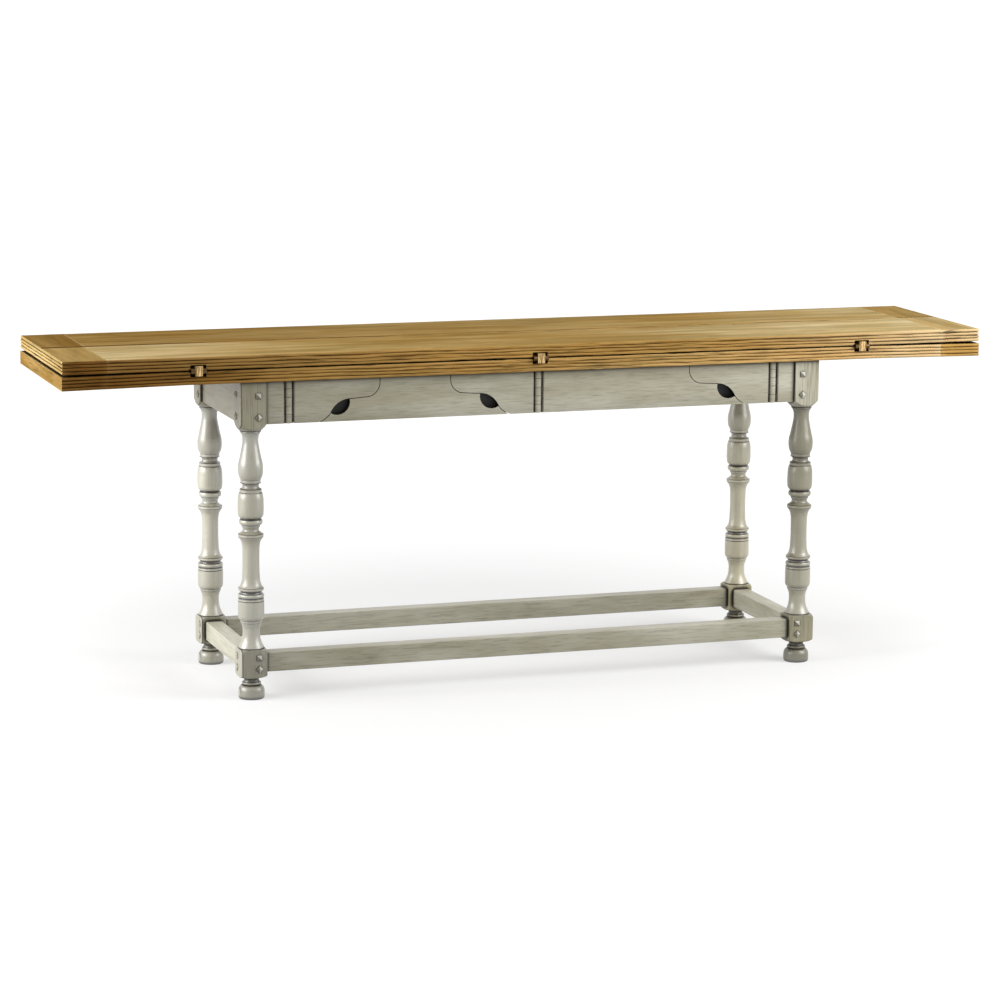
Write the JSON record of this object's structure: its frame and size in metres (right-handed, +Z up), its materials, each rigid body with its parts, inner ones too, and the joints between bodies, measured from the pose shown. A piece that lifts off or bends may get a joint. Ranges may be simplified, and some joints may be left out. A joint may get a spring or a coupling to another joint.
{
  "type": "extending dining table",
  "caption": "Long oak refectory table with two fold-over leaves on brass hinges, fly brackets on wooden knuckle joints, turned legs and low stretchers.",
  "frame": {"origin": "on the floor under the middle of the top", "axes": "+X along the table, +Y from its front to its back, +Z up"},
  "size_m": [2.134, 0.47, 0.762],
  "materials": {
    "oak": "brushed and waxed pale oak",
    "limed_wood": "grey-green limed wash with dark glaze, satin",
    "stained_wood": "dark stained, matt",
    "aged_brass": "aged brass",
    "steel": "plain"
  },
  "bodies": {
    "frame": {"leg_front_left": "limed_wood", "leg_front_right": "limed_wood", "leg_back_left": "limed_wood", "leg_back_right": "limed_wood", "end_rail_left": "limed_wood", "end_rail_right": "limed_wood", "stretcher_front": "limed_wood", "stretcher_back": "limed_wood", "stretcher_left": "limed_wood", "stretcher_right": "limed_wood", "front_rail_stub_left": "limed_wood", "front_rail_middle": "limed_wood", "front_rail_right": "limed_wood", "front_rail_stub_right": "limed_wood", "back_rail_stub_right": "limed_wood", "back_rail_middle": "limed_wood", "back_rail_left": "limed_wood", "back_rail_stub_left": "limed_wood", "upper_pegs": "limed_wood", "lower_pegs": "limed_wood", "bearer_left": "limed_wood", "bearer_middle": "limed_wood", "bearer_right": "limed_wood", "inner_rail_front": "stained_wood", "inner_rail_back": "stained_wood", "main_top_panel": "oak", "main_top_clamp_left": "oak", "main_top_clamp_right": "oak", "hinge_plates_front": "aged_brass", "hinge_plates_back": "aged_brass", "hinge_pins_front": "aged_brass", "hinge_pins_back": "aged_brass", "hinge_screws_front": "aged_brass", "hinge_screws_back": "aged_brass", "fly_pins_front": "steel", "fly_pins_back": "steel", "bearer_screws": "steel"},
    "front_leaf": {"front_leaf_panel": "oak", "front_leaf_clamp_left": "oak", "front_leaf_clamp_right": "oak", "leaf_plates_front": "aged_brass", "leaf_screws_front": "aged_brass"},
    "back_leaf": {"back_leaf_panel": "oak", "back_leaf_clamp_left": "oak", "back_leaf_clamp_right": "oak", "leaf_plates_back": "aged_brass", "leaf_screws_back": "aged_brass"},
    "fly_front_left": {"fly_front_left": "limed_wood"},
    "fly_front_middle": {"fly_front_middle": "limed_wood"},
    "fly_front_right": {"fly_front_right": "limed_wood"},
    "fly_back_right": {"fly_back_right": "limed_wood"},
    "fly_back_middle": {"fly_back_middle": "limed_wood"},
    "fly_back_left": {"fly_back_left": "limed_wood"}
  },
  "joints": [
    {"name": "front_leaf_hinge", "type": "hinge", "parent": "frame", "child": "front_leaf", "pos_m": [0, -0.229, 0.732], "axis": [1, 0, 0], "range_deg": [0, 180]},
    {"name": "back_leaf_hinge", "type": "hinge", "parent": "frame", "child": "back_leaf", "pos_m": [0, 0.229, 0.732], "axis": [-1, 0, 0], "range_deg": [0, 180]},
    {"name": "fly_front_left_swing", "type": "hinge", "parent": "frame", "child": "fly_front_left", "pos_m": [-0.566, -0.194, 0.655], "axis": [0, 0, -1], "range_deg": [0, 90]},
    {"name": "fly_front_middle_swing", "type": "hinge", "parent": "frame", "child": "fly_front_middle", "pos_m": [0.004, -0.194, 0.655], "axis": [0, 0, 1], "range_deg": [0, 90]},
    {"name": "fly_front_right_swing", "type": "hinge", "parent": "frame", "child": "fly_front_right", "pos_m": [0.566, -0.194, 0.655], "axis": [0, 0, 1], "range_deg": [0, 90]},
    {"name": "fly_back_right_swing", "type": "hinge", "parent": "frame", "child": "fly_back_right", "pos_m": [0.566, 0.194, 0.655], "axis": [0, 0, -1], "range_deg": [0, 90]},
    {"name": "fly_back_middle_swing", "type": "hinge", "parent": "frame", "child": "fly_back_middle", "pos_m": [-0.004, 0.194, 0.655], "axis": [0, 0, 1], "range_deg": [0, 90]},
    {"name": "fly_back_left_swing", "type": "hinge", "parent": "frame", "child": "fly_back_left", "pos_m": [-0.566, 0.194, 0.655], "axis": [0, 0, 1], "range_deg": [0, 90]}
  ]
}
